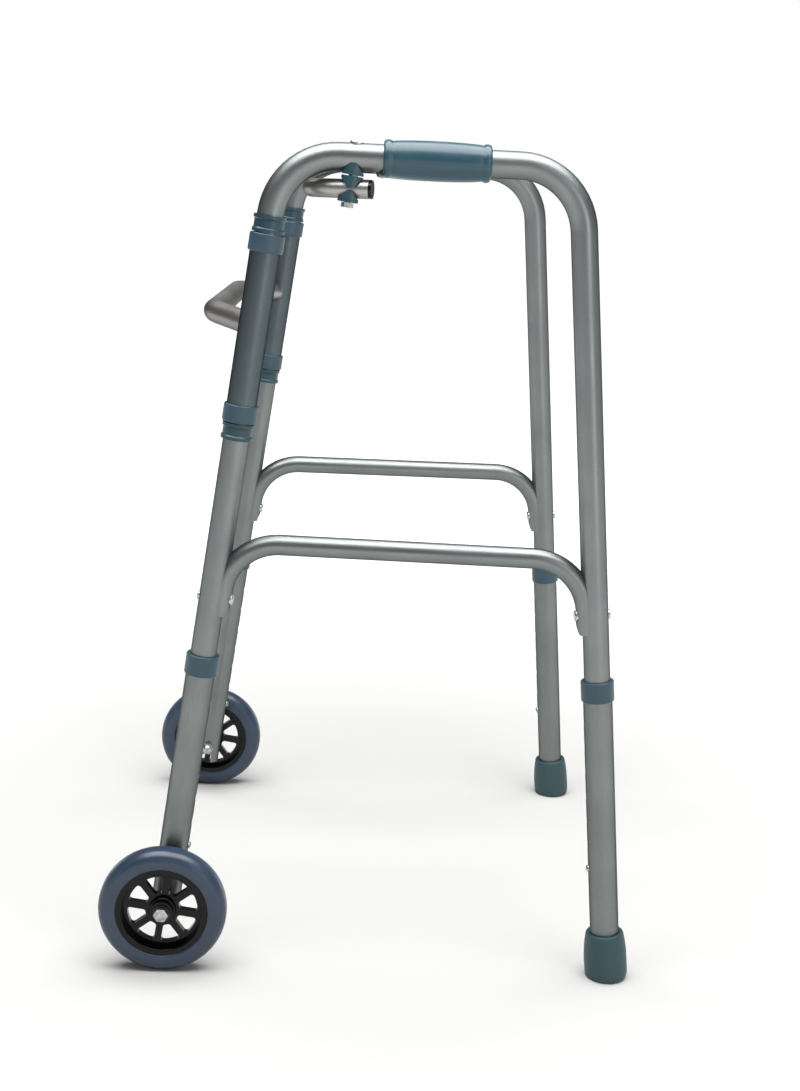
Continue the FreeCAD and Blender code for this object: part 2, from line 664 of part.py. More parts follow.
def axle_nut():
    """A domed nut on the bolt's end, inside the frame."""
    start = -LEG_R - SEAT_GAP
    body = hexagon(AXLE_NUT_ACROSS, start - AXLE_NUT_T, start)
    dome_r = AXLE_NUT_ACROSS / 2 - 0.6
    dome = Part.makeSphere(dome_r, Vector(0, 0, start - AXLE_NUT_T))
    dome = dome.common(rod(dome_r, start - AXLE_NUT_T - AXLE_NUT_DOME, start - AXLE_NUT_T))
    thread = rod(AXLE_D / 2 + SEAT_GAP, -LEG_R - AXLE_NUT_T - SEAT_GAP, 0)
    return placed(body.fuse(dome).cut(thread), WHEEL)


def axle_spacer():
    """The washer between the leg and the hub, hollowed to sit on the round leg."""
    depth = LEG_R - math.sqrt(LEG_R**2 - (SPACER_D / 2) ** 2)
    washer = ring(SPACER_D / 2, AXLE_D / 2 + SEAT_GAP, LEG_R - depth, LEG_R + SPACER_T)
    leg = rod(LEG_R + SEAT_GAP, -LEG_TUBE_D, LEG_TUBE_D)
    return placed(washer, WHEEL).cut(placed(leg, FRONT_LEG))


# ---- sleeves and front bow ----
def sleeve():
    low = SLEEVE_CENTRE_UP - SLEEVE_LENGTH / 2
    high = SLEEVE_CENTRE_UP + SLEEVE_LENGTH / 2
    return placed(ring(SLEEVE_D / 2, SLEEVE_D / 2 - SLEEVE_WALL, low, high), FRONT_LEG)


def sleeve_bushes():
    """A flanged bush over each end of the sleeve, bored to turn on the frame tube."""
    top = SLEEVE_CENTRE_UP + SLEEVE_LENGTH / 2 + SLEEVE_BUSH_LIP
    low = top - SLEEVE_BUSH_LENGTH
    skirt_top = top - SLEEVE_BUSH_LIP + SEAT_GAP
    upper = ring(SLEEVE_BUSH_D / 2, BORE_R, low, top)
    upper = upper.cut(rod(SLEEVE_D / 2 + SEAT_GAP, low - 1, skirt_top))
    upper = rounded(upper, COLLAR_ROUND, is_circle(SLEEVE_BUSH_D / 2))
    lower = upper.mirror(Vector(0, 0, SLEEVE_CENTRE_UP), UP)
    return placed(group(upper, lower), FRONT_LEG)


def mirrored(shape):
    """The same piece on the left side."""
    return shape.mirror(Vector(), LATERAL)


def bow_bar():
    """The front bow: out from both sleeves, then straight across, square to the sleeves."""
    forward = FRONT_LEG.Rotation.multVec(Vector(-1, 0, 0))
    root = FRONT_LEG.multVec(Vector(0, 0, BOW_UP))
    corner = root + forward * BOW_REACH
    corner.y = BOW_CORNER_Y
    points = [root, corner, Vector(corner.x, -corner.y, corner.z), Vector(root.x, -root.y, root.z)]
    bar = tube_along(points, BOW_BEND_RADIUS, BOW_D, BOW_WALL)
    low = SLEEVE_CENTRE_UP - SLEEVE_LENGTH / 2
    high = SLEEVE_CENTRE_UP + SLEEVE_LENGTH / 2
    cope = placed(rod(SLEEVE_D / 2 + SEAT_GAP, low, high), FRONT_LEG)
    open_bow = bar.cut([cope, mirrored(cope)])
    return max(open_bow.Solids, key=lambda solid: solid.Volume)


# ---- link bar ----
def link_points():
    """The corners of the link bar's axis, from its right end to its left."""
    inward = tangent_of(LINK_SLANT)
    end = LINK_PIVOT + Vector(LINK_TAIL, LINK_TAIL * inward, 0)
    corner = LINK_PIVOT + Vector(-LINK_REACH, -LINK_REACH * inward, 0)
    return [end, corner, Vector(corner.x, -corner.y, corner.z), Vector(end.x, -end.y, end.z)]


def link_bar():
    points = link_points()
    bar = tube_along(points, LINK_BEND_RADIUS, LINK_D, LINK_WALL)
    drill = rod(LINK_BOLT_D / 2 + LINK_BOLT_HOLE_GAP, -LINK_D, LINK_D, LINK_PIVOT, LINK_AXIS)
    return bar.cut([drill, mirrored(drill)])


def link_end_cap():
    """A plug with a flat head in the end of the link bar."""
    end, corner = link_points()[:2]
    outwards = (end - corner).normalize()
    head = rod(LINK_D / 2, SEAT_GAP, CAP_T, end, outwards)
    plug = rod(LINK_D / 2 - LINK_WALL - SEAT_GAP, -CAP_PLUG, SEAT_GAP, end, outwards)
    bore = rod(LINK_D / 2 - LINK_WALL - 2, -CAP_PLUG - 1, 0, end, outwards)
    return head.fuse(plug).cut(bore)


# Distances along the pivot bolt, from the link bar's axis.
RAIL_AXIS_UP = LINK_DROP / (LINK_AXIS.z - LINK_AXIS.x * RAIL_DIRECTION.z / RAIL_DIRECTION.x)
SADDLE_SPLIT = (RAIL_AXIS_UP - TUBE_R + LINK_D / 2) / 2
LOW_SADDLE_BASE = -LINK_D / 2 - LOW_SADDLE_T
NUT_TOP = LOW_SADDLE_BASE - FACE_GAP


def saddle(tube, flat, tip):
    """A block on the pivot bolt: two tapered lobes that clasp a tube, and a flat face to turn on.

    Its flat face and the lobes' tips are given as distances along the bolt.
    """
    band = flat + math.copysign(SADDLE_BAND, tip - flat)
    half = SADDLE_LENGTH / 2
    outline = [(-half, flat), (half, flat), (half, band), (SADDLE_TIP, tip), (-SADDLE_TIP, tip)]
    points = [Vector(x, -SADDLE_D, up) for x, up in outline + [(-half, band)]]
    prism = Part.Face(Part.makePolygon(points + points[:1])).extrude(LATERAL * (2 * SADDLE_D))
    prism = rounded(prism, SADDLE_ROUND, lambda edge: abs(edge.Length - 2 * SADDLE_D) < 1e-6)
    block = prism.common(rod(SADDLE_D / 2, min(flat, tip), max(flat, tip)))
    block = block.cut(rod(LINK_BOLT_D / 2 + LINK_BOLT_HOLE_GAP, -LINK_DROP, 2 * LINK_DROP))
    return placed(block, ON_BOLT).cut(tube)


def rail_saddle():
    rail = rod(TUBE_R + SEAT_GAP, -RAIL_LENGTH, RAIL_LENGTH, rail_point(LINK_BOLT_X), RAIL_DIRECTION)
    flat = SADDLE_SPLIT + SADDLE_WAIST_GAP / 2
    return saddle(rail, flat, RAIL_AXIS_UP - TUBE_R + SADDLE_LOBE)


def bar_saddles():
    """The saddles above and below the link bar."""
    end, corner = link_points()[:2]
    heading = (end - corner).normalize()
    bar = rod(LINK_D / 2 + SEAT_GAP, -LINK_REACH, LINK_REACH, LINK_PIVOT, heading)
    lobe = LINK_D / 2 - SADDLE_LOBE
    upper = saddle(bar, SADDLE_SPLIT - SADDLE_WAIST_GAP / 2, lobe)
    lower = saddle(bar, LOW_SADDLE_BASE, -lobe)
    return group(upper, lower)


def link_bolt():
    """The pivot bolt: low round head on the rail, shank down through the link bar."""
    top = RAIL_AXIS_UP + TUBE_R
    head = rod(LINK_HEAD_D / 2, top - LINK_HEAD_T - 2, top + LINK_HEAD_T)
    head = rounded(head, LINK_HEAD_T * 0.8, is_circle(LINK_HEAD_D / 2, top + LINK_HEAD_T))
    shank = rod(LINK_BOLT_D / 2, NUT_TOP - LINK_NUT_T, top)
    on_rail = rod(TUBE_R + SEAT_GAP, -RAIL_LENGTH, RAIL_LENGTH, rail_point(LINK_BOLT_X), RAIL_DIRECTION)
    return placed(head, ON_BOLT).cut(on_rail).fuse(placed(shank, ON_BOLT))


def link_nut():
    nut = hexagon(LINK_NUT_ACROSS, NUT_TOP - LINK_NUT_T, NUT_TOP)
    thread = rod(LINK_BOLT_D / 2 + SEAT_GAP, NUT_TOP - LINK_NUT_T - 1, NUT_TOP + 1)
    return placed(nut.cut(thread), ON_BOLT)


# ---- every piece, by node name ----
def paired_pieces():
    """The pieces of the right side. Each has a mirrored twin on the left."""
    brace_bolts, brace_nuts = brace_fasteners()
    return {
        "side_tube": side_tube(),
        "hand_grip": hand_grip(),
        "side_brace": side_brace(),
        "brace_bolts": brace_bolts,
        "brace_nuts": brace_nuts,
        "stop_collars": stop_collars(),
        "link_bolt": link_bolt(),
        "link_nut": link_nut(),
        "rail_saddle": rail_saddle(),
        "bar_saddles": bar_saddles(),
        "front_button": snap_button(FRONT_LEG, FRONT_BUTTON_UP, 1),
        "rear_button": snap_button(REAR_LEG, REAR_BUTTON_UP, -1),
        "front_button_spring": button_spring(FRONT_LEG, FRONT_BUTTON_UP, 1),
        "rear_button_spring": button_spring(REAR_LEG, REAR_BUTTON_UP, -1),
        "front_leg": front_leg_tube(),
        "front_leg_collar": leg_collar(FRONT_LEG, FRONT_LEG_TOP),
        "rear_leg": rear_leg_tube(),
        "rear_leg_collar": leg_collar(REAR_LEG, REAR_LEG_TOP),
        "rubber_tip": rubber_tip(),
        "tip_washer": tip_washer(),
        "tyre": tyre(),
        "wheel_rim": wheel_rim(),
        "hub_bushes": hub_bushes(),
        "axle_bolt": axle_bolt(),
        "axle_nut": axle_nut(),
        "axle_spacer": axle_spacer(),
        "sleeve": sleeve(),
        "sleeve_bushes": sleeve_bushes(),
    }


def all_pieces():
    pieces = {}
    for name, shape in paired_pieces().items():
        pieces["right_" + name] = shape
        pieces["left_" + name] = mirrored(shape)
    pieces["bow_bar"] = bow_bar()
    pieces["link_bar"] = link_bar()
    cap = link_end_cap()
    pieces["link_end_caps"] = group(cap, mirrored(cap))
    return pieces


os.makedirs("parts", exist_ok=True)
for node, piece in all_pieces().items():
    piece.exportStep(os.path.join("parts", node + ".step"))
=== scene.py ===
"""Looks of the two-way stepping walking frame.

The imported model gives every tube, fastener and moving body. This script dresses those nodes and
puts finer pieces in place of the hand grips, the rubber tips and the tyres. Lengths in the classes
of those pieces are millimetres. Points in a mesh, the floor, the lamps and the camera are in metres.
"""

import json
import logging
import math
from dataclasses import dataclass, field
from enum import Enum

import bmesh
import bpy
import numpy as np
from mathutils import Matrix, Vector

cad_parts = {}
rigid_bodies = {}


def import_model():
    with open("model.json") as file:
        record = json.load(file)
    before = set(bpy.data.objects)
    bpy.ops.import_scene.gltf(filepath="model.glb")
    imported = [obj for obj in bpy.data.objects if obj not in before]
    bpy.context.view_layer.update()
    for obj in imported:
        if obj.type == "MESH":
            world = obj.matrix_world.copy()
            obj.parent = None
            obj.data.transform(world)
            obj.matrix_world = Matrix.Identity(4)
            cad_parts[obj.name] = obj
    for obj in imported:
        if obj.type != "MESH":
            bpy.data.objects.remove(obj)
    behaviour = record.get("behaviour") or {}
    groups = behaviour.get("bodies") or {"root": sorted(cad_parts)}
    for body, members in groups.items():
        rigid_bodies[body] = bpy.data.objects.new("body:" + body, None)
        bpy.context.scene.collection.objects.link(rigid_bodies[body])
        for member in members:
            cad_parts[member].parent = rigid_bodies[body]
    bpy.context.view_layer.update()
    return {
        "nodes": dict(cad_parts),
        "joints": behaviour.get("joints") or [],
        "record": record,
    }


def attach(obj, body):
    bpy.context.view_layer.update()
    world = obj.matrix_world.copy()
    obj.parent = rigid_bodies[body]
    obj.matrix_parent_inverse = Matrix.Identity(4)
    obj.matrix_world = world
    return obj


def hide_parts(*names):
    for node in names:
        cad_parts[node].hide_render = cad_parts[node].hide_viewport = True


LOG = logging.getLogger("walking_frame")
MM = 0.001
SIDES = ("left", "right")


# ---------------------------------------------------------------- colours and shader nodes
def linear(hex_colour: str) -> tuple[float, float, float, float]:
    """Turns an sRGB hex colour to the linear colour that shaders use.

    Args:
        hex_colour: six hex digits, such as "6f8a92".

    Returns:
        Red, green, blue and an alpha of 1.
    """
    srgb = [int(hex_colour[i : i + 2], 16) / 255 for i in (0, 2, 4)]
    red, green, blue = (c / 12.92 if c <= 0.04045 else ((c + 0.055) / 1.055) ** 2.4 for c in srgb)
    return red, green, blue, 1.0


def add_node(
    tree: bpy.types.NodeTree, kind: str, settings: dict | None = None, **sockets: object
) -> bpy.types.Node:
    """Adds one shader node with its settings, values and links.

    Args:
        tree: the material's node tree.
        kind: the node's Blender type.
        settings: properties of the node itself.
        **sockets: input name, with spaces as underscores, to a value or to an output to link.

    Returns:
        The new node.
    """
    node = tree.nodes.new(kind)
    for key, value in (settings or {}).items():
        setattr(node, key, value)
    for key, value in sockets.items():
        wanted = key.replace("_", " ")
        socket = next(s for s in node.inputs if s.name == wanted and s.enabled)
        if isinstance(value, bpy.types.NodeSocket):
            tree.links.new(value, socket)
        else:
            socket.default_value = value
    return node


class Grain(Enum):
    """Which way a drawn tube's fine lines run, as the pattern's stretch along X, Y and Z."""

    NONE = (1.0, 1.0, 1.0)
    UPRIGHT = (1.0, 1.0, 0.03)
    CROSSWISE = (1.0, 0.03, 1.0)


@dataclass(frozen=True)
class AnodisedAluminium:
    """Drawn aluminium tube, satin anodised: a soft metal sheen with faint lines along the tube.

    The lines are really a few hundredths of a millimetre wide. They are drawn at grain_mm, coarse
    enough to show.
    """

    name: str
    colour: str = "828686"
    shade: str = "7b7f7f"
    edge_tint: str = "6c6f6f"
    roughness: float = 0.4
    roughness_spread: float = 0.06
    grain_mm: float = 0.5
    cloud_mm: float = 45.0
    grain: Grain = Grain.NONE
    shade_at: float = 0.12
    colour_at: float = 0.38
    smoothest_at: float = 0.4
    line_depth_mm: float = 0.02
    line_strength: float = 0.06

    def material(self) -> bpy.types.Material:
        """Makes the finish: lines times clouds give the tone and the roughness, lines the bump.

        Returns:
            The Blender material.
        """
        made, tree, shader = new_material(self.name)
        shader.inputs["Metallic"].default_value = 1.0
        shader.inputs["Specular Tint"].default_value = linear(self.edge_tint)
        place = add_node(tree, "ShaderNodeTexCoord").outputs["Object"]
        stretched = add_node(tree, "ShaderNodeMapping", Vector=place, Scale=self.grain.value)
        lines = add_node(
            tree, "ShaderNodeTexNoise", Vector=stretched.outputs[0], Scale=1000 / self.grain_mm, Detail=3.0
        )
        cloud = add_node(tree, "ShaderNodeTexNoise", Vector=place, Scale=1000 / self.cloud_mm, Detail=4.0)
        both = add_node(tree, "ShaderNodeMath", {"operation": "MULTIPLY"}, Value=lines.outputs[0])
        tree.links.new(cloud.outputs[0], both.inputs[1])
        tone = add_node(tree, "ShaderNodeValToRGB", Fac=both.outputs[0])
        tone.color_ramp.elements[0].position = self.shade_at
        tone.color_ramp.elements[0].color = linear(self.shade)
        tone.color_ramp.elements[1].position = self.colour_at
        tone.color_ramp.elements[1].color = linear(self.colour)
        tree.links.new(tone.outputs[0], shader.inputs["Base Color"])
        rough = add_node(
            tree,
            "ShaderNodeMapRange",
            Value=both.outputs[0],
            From_Min=self.shade_at,
            From_Max=self.smoothest_at,
            To_Min=self.roughness + self.roughness_spread,
            To_Max=self.roughness - self.roughness_spread,
        )
        tree.links.new(rough.outputs[0], shader.inputs["Roughness"])
        bump = add_node(
            tree,
            "ShaderNodeBump",
            Strength=self.line_strength,
            Distance=self.line_depth_mm * MM,
            Height=lines.outputs[0],
        )
        tree.links.new(bump.outputs[0], shader.inputs["Normal"])
        return made


@dataclass(frozen=True)
class MouldedPolymer:
    """Injection-moulded vinyl, plastic or rubber: an even colour, lightly clouded, with a fine texture.

    The texture's depth and pitch say which: a tool's spark-eroded texture on collars, a smooth skin
    on vinyl, and a dusty one on rubber.
    """

    name: str
    colour: str
    worn: str
    roughness: float
    roughness_spread: float = 0.06
    texture_mm: float = 0.6
    texture_depth_mm: float = 0.03
    cloud_mm: float = 22.0
    ior: float = 1.5
    coat: float = 0.0
    coat_roughness: float = 0.12
    sheen: float = 0.0
    colour_at: float = 0.35
    worn_at: float = 0.75
    smoothest_at: float = 0.3
    roughest_at: float = 0.7
    texture_strength: float = 0.5

    def material(self) -> bpy.types.Material:
        """Makes the finish: clouds give the tone and the roughness, the fine texture the bump.

        Returns:
            The Blender material.
        """
        made, tree, shader = new_material(self.name)
        shader.inputs["IOR"].default_value = self.ior
        shader.inputs["Coat Weight"].default_value = self.coat
        shader.inputs["Coat Roughness"].default_value = self.coat_roughness
        shader.inputs["Sheen Weight"].default_value = self.sheen
        place = add_node(tree, "ShaderNodeTexCoord").outputs["Object"]
        cloud = add_node(tree, "ShaderNodeTexNoise", Vector=place, Scale=1000 / self.cloud_mm, Detail=5.0)
        texture = add_node(
            tree, "ShaderNodeTexNoise", Vector=place, Scale=1000 / self.texture_mm, Detail=2.0
        )
        tone = add_node(tree, "ShaderNodeValToRGB", Fac=cloud.outputs[0])
        tone.color_ramp.elements[0].position = self.colour_at
        tone.color_ramp.elements[0].color = linear(self.colour)
        tone.color_ramp.elements[1].position = self.worn_at
        tone.color_ramp.elements[1].color = linear(self.worn)
        tree.links.new(tone.outputs[0], shader.inputs["Base Color"])
        rough = add_node(
            tree,
            "ShaderNodeMapRange",
            Value=cloud.outputs[0],
            From_Min=self.smoothest_at,
            From_Max=self.roughest_at,
            To_Min=self.roughness - self.roughness_spread,
            To_Max=self.roughness + self.roughness_spread,
        )
        tree.links.new(rough.outputs[0], shader.inputs["Roughness"])
        bump = add_node(
            tree,
            "ShaderNodeBump",
            Strength=self.texture_strength,
            Distance=self.texture_depth_mm * MM,
            Height=texture.outputs[0],
        )
        tree.links.new(bump.outputs[0], shader.inputs["Normal"])
        return made


@dataclass(frozen=True)
class PlatedSteel:
    """Bright zinc-plated or blackened steel: a metal skin with small uneven crystals."""

    name: str
    colour: str = "c3c7c8"
    shade: str = "8d9294"
    roughness: float = 0.26
    roughness_spread: float = 0.18
    crystal_mm: float = 1.6
    crystal_depth_mm: float = 0.02
    crystal_strength: float = 0.25
    cloud_mm: float = 4.0
    shade_at: float = 0.3
    colour_at: float = 0.6

    def material(self) -> bpy.types.Material:
        """Makes the finish: clouds give the tone, and crystals the roughness and the bump.

        Returns:
            The Blender material.
        """
        made, tree, shader = new_material(self.name)
        shader.inputs["Metallic"].default_value = 1.0
        place = add_node(tree, "ShaderNodeTexCoord").outputs["Object"]
        crystals = add_node(tree, "ShaderNodeTexVoronoi", Vector=place, Scale=1000 / self.crystal_mm)
        cloud = add_node(tree, "ShaderNodeTexNoise", Vector=place, Scale=1000 / self.cloud_mm, Detail=4.0)
        tone = add_node(tree, "ShaderNodeValToRGB", Fac=cloud.outputs[0])
        tone.color_ramp.elements[0].position = self.shade_at
        tone.color_ramp.elements[0].color = linear(self.shade)
        tone.color_ramp.elements[1].position = self.colour_at
        tone.color_ramp.elements[1].color = linear(self.colour)
        tree.links.new(tone.outputs[0], shader.inputs["Base Color"])
        rough = add_node(
            tree,
            "ShaderNodeMapRange",
            Value=crystals.outputs["Distance"],
            To_Min=self.roughness,
            To_Max=self.roughness + self.roughness_spread,
        )
        tree.links.new(rough.outputs[0], shader.inputs["Roughness"])
        bump = add_node(
            tree,
            "ShaderNodeBump",
            Strength=self.crystal_strength,
            Distance=self.crystal_depth_mm * MM,
            Height=crystals.outputs["Distance"],
        )
        tree.links.new(bump.outputs[0], shader.inputs["Normal"])
        return made


def new_material(name: str) -> tuple[bpy.types.Material, bpy.types.NodeTree, bpy.types.Node]:
    """An empty material with one Principled shader joined to its output.

    Args:
        name: the material's name.

    Returns:
        The material, its node tree and the shader.
    """
    made = bpy.data.materials.new(name)
    made.use_nodes = True
    tree = made.node_tree
    return made, tree, tree.nodes["Principled BSDF"]


FINISHES = {
    "tube_upright": AnodisedAluminium("anodised_tube_upright", grain=Grain.UPRIGHT),
    "tube_bent": AnodisedAluminium("anodised_tube_bent"),
    "tube_crosswise": AnodisedAluminium(
        "anodised_tube_crosswise", colour="a8a6a3", shade="9f9d9a", grain=Grain.CROSSWISE
    ),
    "sleeve": AnodisedAluminium("anodised_sleeve", colour="5b6467", shade="565f62", grain=Grain.UPRIGHT),
    "grip_vinyl": MouldedPolymer(
        "grip_vinyl", "1c3f4c", "224754", 0.36, texture_mm=1.1, texture_depth_mm=0.03, coat=0.15
    ),
    "slate_nylon": MouldedPolymer("slate_nylon", "2a4350", "304a57", 0.42, texture_mm=0.7),
    "teal_nylon": MouldedPolymer("teal_nylon", "1a3a45", "20414c", 0.36, texture_mm=0.7),
    "tip_rubber": MouldedPolymer(
        "tip_rubber", "28444a", "304d53", 0.5, texture_mm=0.9, texture_depth_mm=0.04
    ),
    "tyre_rubber": MouldedPolymer(
        "tyre_rubber", "26364a", "2e3f54", 0.38, texture_mm=1.4, cloud_mm=30.0, coat=0.2, coat_roughness=0.2
    ),
    "rim_plastic": MouldedPolymer(
        "rim_gloss_plastic",
        "040405",
        "070708",
        0.16,
        roughness_spread=0.03,
        texture_depth_mm=0.004,
        ior=1.3,
        coat=0.08,
        coat_roughness=0.06,
    ),
    "bush_plastic": MouldedPolymer("bush_acetal", "0c0d0e", "131415", 0.34),
    "zinc_steel": PlatedSteel("zinc_plated_steel"),
    "spring_steel": PlatedSteel("blued_spring_steel", colour="585d66", shade="3c4048", roughness=0.32),
}


@dataclass
class Paintbox:
    """The finishes in use, each made into a material once."""

    made: dict[str, bpy.types.Material] = field(default_factory=dict)

    def coat(self, piece: bpy.types.Object, finish: str) -> None:
        """Gives a piece one finish all over.

        Args:
            piece: a mesh object.
            finish: a key of FINISHES.
        """
        if finish not in self.made:
            self.made[finish] = FINISHES[finish].material()
        piece.data.materials.clear()
        piece.data.materials.append(self.made[finish])


# ---------------------------------------------------------------- places and surfaces
@dataclass(frozen=True)
class Place:
    """A local frame: an origin in metres, and three square directions."""

    origin: np.ndarray
    across: np.ndarray
    side: np.ndarray
    along: np.ndarray

    @classmethod
    def on_axis(cls, origin: np.ndarray, along: np.ndarray, down: np.ndarray) -> "Place":
        """The frame of a turned piece.

        Args:
            origin: where the piece's axis starts.
            along: the axis.
            down: roughly where the angle 0 looks.

        Returns:
            A right-handed frame whose across direction is down, made square to the axis.
        """
        along = along / np.linalg.norm(along)
        across = down - (down @ along) * along
        across = across / np.linalg.norm(across)
        return cls(origin, across, np.cross(along, across), along)

    def points(self, local_mm: np.ndarray) -> np.ndarray:
        """Local millimetres to metres in the model's frame."""
        return self.origin + (local_mm * MM) @ np.stack([self.across, self.side, self.along])


def softened(corners: np.ndarray, rounds: int = 3, closed: bool = False) -> np.ndarray:
    """Rounds an outline by cutting each corner at a quarter and three quarters of its runs.

    Args:
        corners: outline points, one per row.
        rounds: how many times the corners are cut.
        closed: whether the outline is a loop. An open one keeps its two ends.

    Returns:
        The finer outline.
    """
    outline = np.asarray(corners, float)
    for _ in range(rounds):
        after = np.roll(outline, -1, axis=0)
        if not closed:
            outline, after, ends = outline[:-1], after[:-1], (outline[:1], outline[-1:])
        cut = np.stack([0.75 * outline + 0.25 * after, 0.25 * outline + 0.75 * after], 1)
        cut = cut.reshape(-1, outline.shape[1])
        outline = cut if closed else np.vstack([ends[0], cut, ends[1]])
    return outline


def skin(name: str, grid: np.ndarray, looped: bool) -> bpy.types.Object:
    """A closed smooth mesh from a grid of points that goes round in its second direction.

    Args:
        name: the piece's name.
        grid: points in metres, outline by angle by three.
        looped: whether the outline closes on itself. If not, its two ends are poles.

    Returns:
        The linked object, with doubled points merged and its faces outwards.
    """
    rows, turns = grid.shape[:2]
    index = np.arange(rows * turns).reshape(rows, turns)
    last = rows if looped else rows - 1
    here, above = index[:last], np.roll(index, -1, axis=0)[:last]
    faces = np.stack([here, np.roll(here, -1, 1), np.roll(above, -1, 1), above], -1).reshape(-1, 4)
    mesh = bpy.data.meshes.new(name)
    mesh.from_pydata(grid.reshape(-1, 3).tolist(), [], faces.tolist())
    shell = bmesh.new()
    shell.from_mesh(mesh)
    bmesh.ops.remove_doubles(shell, verts=shell.verts, dist=1e-7)
    bmesh.ops.recalc_face_normals(shell, faces=shell.faces)
    shell.to_mesh(mesh)
    shell.free()
    mesh.shade_smooth()
    piece = bpy.data.objects.new(name, mesh)
    bpy.context.scene.collection.objects.link(piece)
    return piece


def turned(name: str, outline: np.ndarray, place: Place, looped: bool, turns: int) -> bpy.types.Object:
    """A surface of revolution: the outline's radius goes round the place's axis.

    Args:
        name: the piece's name.
        outline: rows of (radius, height) in millimetres.
        place: where the axis starts and points.
        looped: whether the outline closes on itself.
        turns: points round the axis.

    Returns:
        The linked object.
    """
    return skin(name, place.points(turned_grid(outline, turns)), looped)


def turned_grid(outline: np.ndarray, turns: int, waves: np.ndarray | None = None) -> np.ndarray:
    """Points (r cos a, r sin a, h) for every outline row and every angle a, in millimetres.

    Args:
        outline: rows of (radius, height).
        turns: how many angles there are.
        waves: what is added to the radius, outline by angle, or None for a plain turned piece.

    Returns:
        The points, outline by angle by three.
    """
    angle = np.linspace(0, 2 * math.pi, turns, endpoint=False)
    radius = np.repeat(outline[:, :1], turns, axis=1)
    if waves is not None:
        radius = radius + waves
    height = np.repeat(outline[:, 1:2], turns, axis=1)
    return np.stack([radius * np.cos(angle), radius * np.sin(angle), height], -1)


def node_points(node: bpy.types.Object) -> np.ndarray:
    """A node's vertices.

    Args:
        node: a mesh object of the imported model.

    Returns:
        One point per row, in metres in the model's frame.
    """
    flat = np.empty(len(node.data.vertices) * 3, np.float32)
    node.data.vertices.foreach_get("co", flat)
    return flat.reshape(-1, 3).astype(float)


@dataclass
class Workshop:
    """What every sub-assembly needs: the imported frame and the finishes."""

    nodes: dict[str, bpy.types.Object]
    joints: dict[str, dict]
    mounts: dict[str, dict]
    paint: Paintbox

    def dress(self, finish: str, *names: str) -> None:
        """Gives CAD nodes one finish.

        Args:
            finish: a key of FINISHES.
            *names: the nodes.
        """
        for name in names:
            self.paint.coat(self.nodes[name], finish)
            LOG.info("%s dressed as %s", name, finish)

    def install(self, piece: bpy.types.Object, node: str, slot: str, finish: str, body: str) -> None:
        """Puts a finished piece in place of a CAD node.

        Args:
            piece: the new mesh, in place.
            node: the CAD node it stands for.
            slot: the record's material slot; not used.
            finish: a key of FINISHES.
            body: the body it moves with.
        """
        self.paint.coat(piece, finish)
        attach(piece, body)
        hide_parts(node)
        LOG.info("%s made in place of %s, %d faces", piece.name, node, len(piece.data.polygons))

    def leg_up(self, side: str, end: str) -> np.ndarray:
        """The direction up a leg, from the slide it extends on."""
        return -np.array(self.joints[f"{side}_{end}_leg_slide"]["axis"], float)

    def span(self, node: str, origin: np.ndarray, axis: np.ndarray) -> tuple[float, float]:
        """How far a node reaches along an axis, in millimetres from an origin."""
        along = (node_points(self.nodes[node]) - origin) @ axis
        return float(along.min()) / MM, float(along.max()) / MM


